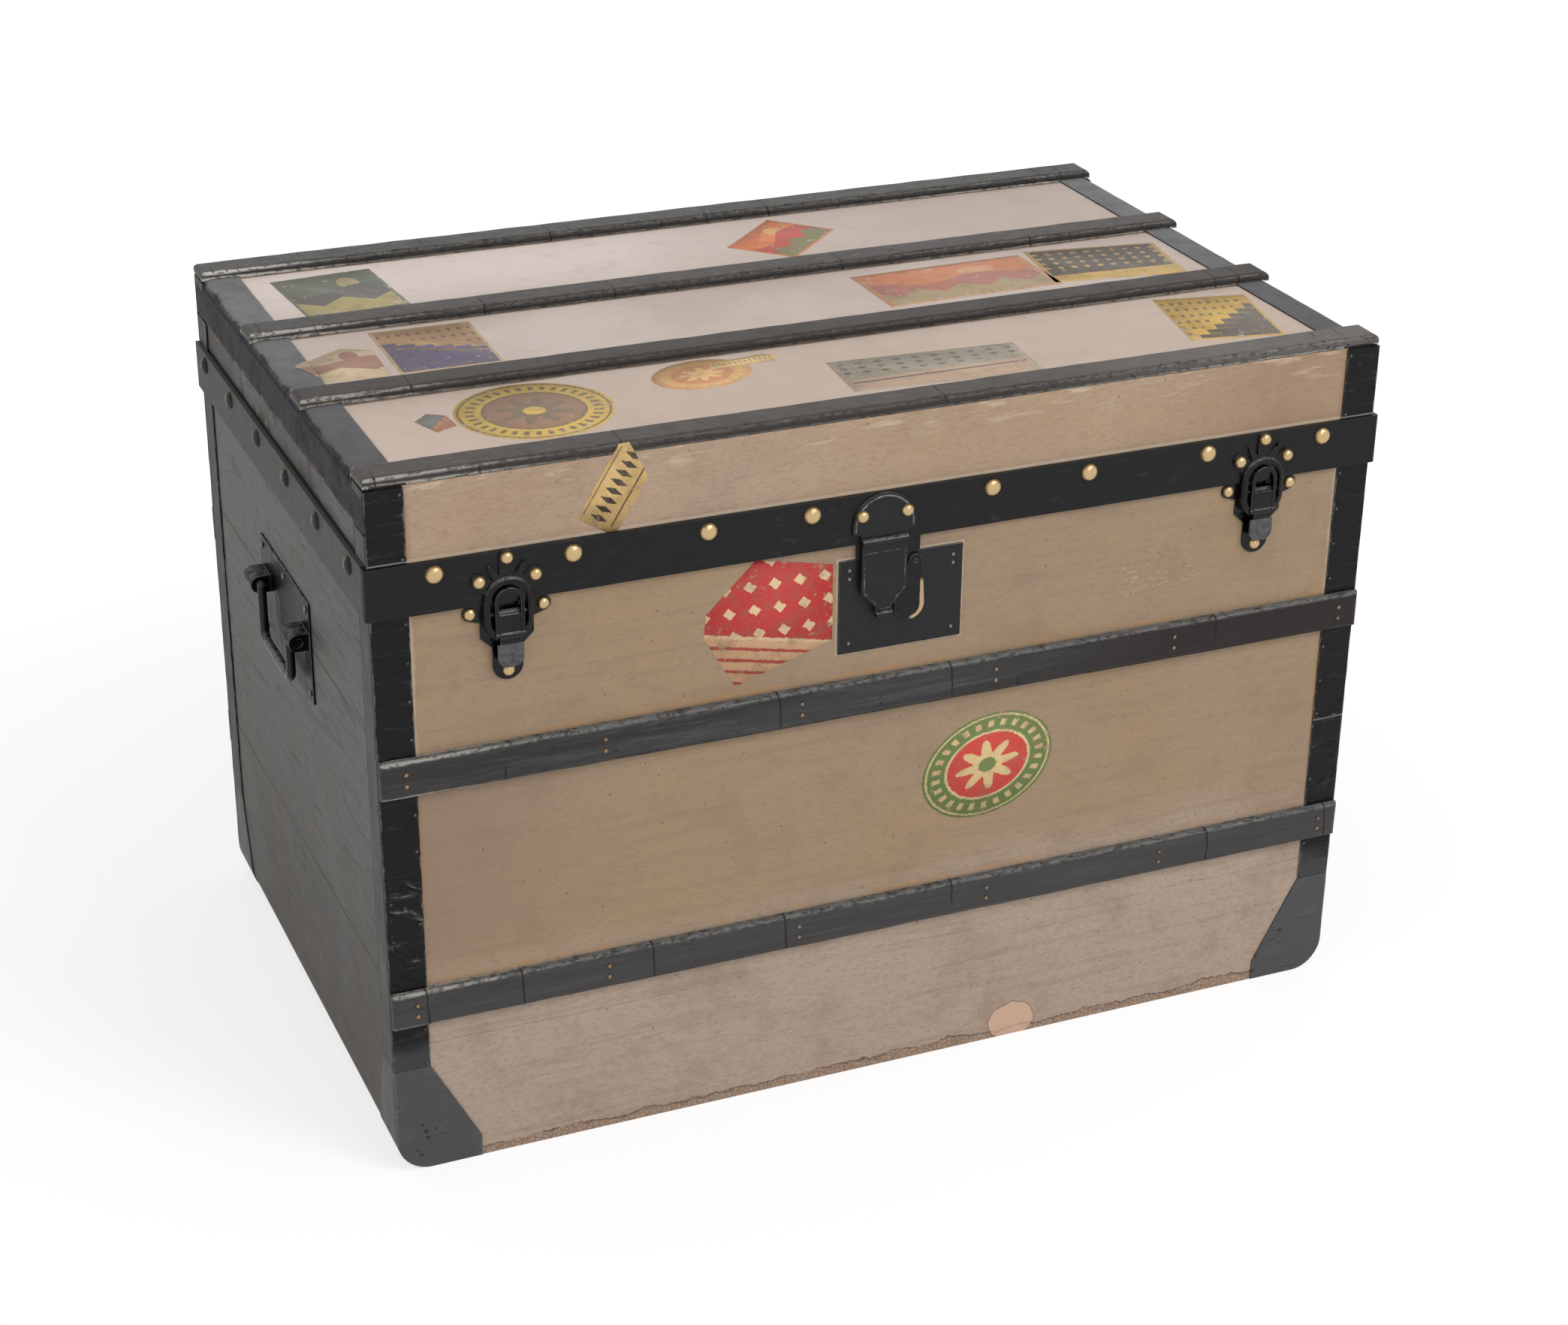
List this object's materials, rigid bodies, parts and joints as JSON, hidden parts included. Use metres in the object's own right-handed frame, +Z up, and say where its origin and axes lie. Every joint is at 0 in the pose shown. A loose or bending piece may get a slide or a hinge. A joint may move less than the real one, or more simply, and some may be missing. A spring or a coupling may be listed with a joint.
{
  "type": "travel trunk",
  "caption": "Canvas-covered wooden travel trunk with hinged lid, wooden slats, metal corner bindings, draw catches, hasp lock and end handles.",
  "frame": {"origin": "centre of the base, on the ground under the corner shoes", "axes": "+X along the trunk's length to the right seen from the front, +Y from the front to the back hinges, +Z up"},
  "size_m": [0.936, 0.576, 0.629],
  "materials": {
    "bare_wood": "rough sawn, unfinished",
    "painted_boards": "worn grey and black paint",
    "front_cloth": "coated canvas, faded and soiled",
    "top_cloth": "coated canvas, faded",
    "lining_paper": "matt lining paper on cloth",
    "black_wood": "worn black paint",
    "grey_wood": "worn grey paint",
    "black_strip": "worn black paint, cracked",
    "shoe_iron": "worn dark grey paint",
    "black_iron": "glossy black paint",
    "bright_steel": "worn smooth",
    "brass_nails": "aged, partly polished",
    "tack_steel": "tarnished"
  },
  "bodies": {
    "body": {"front_boards": "bare_wood", "back_boards": "bare_wood", "left_end_boards": "painted_boards", "right_end_boards": "painted_boards", "bottom_boards": "bare_wood", "bottom_rails": "bare_wood", "body_lining": "lining_paper", "front_canvas": "front_cloth", "back_canvas": "front_cloth", "front_corner_bindings": "black_strip", "back_corner_bindings": "black_strip", "corner_shoes": "shoe_iron", "upper_front_slat": "black_wood", "lower_front_slat": "black_wood", "back_slats": "black_wood", "slat_nails": "tack_steel", "body_tacks": "tack_steel", "left_catch_plate": "black_iron", "right_catch_plate": "black_iron", "catch_pins": "bright_steel", "catch_nails": "brass_nails", "lock_plate": "black_iron", "lock_case": "bright_steel", "lock_nails": "tack_steel", "left_handle_plate": "black_iron", "right_handle_plate": "black_iron", "handle_rivets": "black_iron", "hinge_body_leaves": "black_iron", "hinge_pins": "bright_steel", "stay_studs": "bright_steel"},
    "lid": {"lid_top_boards": "bare_wood", "lid_rim_boards": "bare_wood", "lid_lining": "lining_paper", "lid_canvas": "top_cloth", "lid_band": "black_strip", "band_studs": "brass_nails", "lid_corner_bindings": "black_strip", "lid_end_borders": "black_strip", "lid_tacks": "tack_steel", "lid_slats": "grey_wood", "left_keeper_plate": "black_iron", "right_keeper_plate": "black_iron", "lid_fitting_nails": "brass_nails", "hasp_plate": "black_iron", "hasp_pin": "bright_steel", "hinge_lid_leaves": "black_iron", "stay_rivets": "bright_steel"},
    "hasp": {"hasp_tongue": "black_iron"},
    "left_lever": {"left_catch_lever": "bright_steel", "left_ring_pin": "bright_steel"},
    "right_lever": {"right_catch_lever": "bright_steel", "right_ring_pin": "bright_steel"},
    "left_ring": {"left_catch_ring": "black_iron"},
    "right_ring": {"right_catch_ring": "black_iron"},
    "left_bail": {"left_handle_bail": "black_iron"},
    "right_bail": {"right_handle_bail": "black_iron"},
    "left_stay_bar": {"left_stay": "bright_steel"},
    "right_stay_bar": {"right_stay": "bright_steel"},
    "bolt": {"lock_bolt": "brass_nails"},
    "cover": {"keyhole_cover": "black_iron"}
  },
  "joints": [
    {"name": "lid_hinge", "type": "hinge", "parent": "body", "child": "lid", "pos_m": [0, 0.2808, 0.512], "axis": [-1, 0, 0], "range_deg": [0, 100]},
    {"name": "left_stay_pivot", "type": "hinge", "parent": "lid", "child": "left_stay_bar", "pos_m": [-0.4343, 0.11245, 0.53566], "axis": [-1, 0, 0], "range_deg": [-50, 0]},
    {"name": "right_stay_pivot", "type": "hinge", "parent": "lid", "child": "right_stay_bar", "pos_m": [0.4343, 0.11245, 0.53566], "axis": [-1, 0, 0], "range_deg": [-50, 0]},
    {"name": "hasp_hinge", "type": "hinge", "parent": "lid", "child": "hasp", "pos_m": [-0.0173, -0.28475, 0.514], "axis": [-1, 0, 0], "range_deg": [0, 150]},
    {"name": "left_lever_hinge", "type": "hinge", "parent": "body", "child": "left_lever", "pos_m": [-0.33975, -0.283, 0.5035], "axis": [-1, 0, 0], "range_deg": [0, 120]},
    {"name": "left_ring_hinge", "type": "hinge", "parent": "left_lever", "child": "left_ring", "pos_m": [-0.33975, -0.2865, 0.486], "axis": [-1, 0, 0], "range_deg": [-138, 0]},
    {"name": "right_lever_hinge", "type": "hinge", "parent": "body", "child": "right_lever", "pos_m": [0.33975, -0.283, 0.5035], "axis": [-1, 0, 0], "range_deg": [0, 120]},
    {"name": "right_ring_hinge", "type": "hinge", "parent": "right_lever", "child": "right_ring", "pos_m": [0.33975, -0.2865, 0.486], "axis": [-1, 0, 0], "range_deg": [-138, 0]},
    {"name": "cover_pivot", "type": "hinge", "parent": "body", "child": "cover", "pos_m": [0.0125, -0.2813, 0.49], "axis": [0, -1, 0], "range_deg": [0, 95]},
    {"name": "bolt_slide", "type": "slide", "parent": "body", "child": "bolt", "axis": [-1, 0, 0], "range_m": [0, 0.01]},
    {"name": "left_bail_hinge", "type": "hinge", "parent": "body", "child": "left_bail", "pos_m": [-0.46, 0, 0.407], "axis": [0, 1, 0], "range_deg": [0, 110]},
    {"name": "right_bail_hinge", "type": "hinge", "parent": "body", "child": "right_bail", "pos_m": [0.46, 0, 0.407], "axis": [0, -1, 0], "range_deg": [0, 110]}
  ],
  "couplings": [
    {"joint": "left_stay_pivot", "follows": "lid_hinge", "ratio": -0.5},
    {"joint": "right_stay_pivot", "follows": "lid_hinge", "ratio": -0.5},
    {"joint": "left_ring_hinge", "follows": "left_lever_hinge", "ratio": -1.15},
    {"joint": "right_ring_hinge", "follows": "right_lever_hinge", "ratio": -1.15}
  ]
}
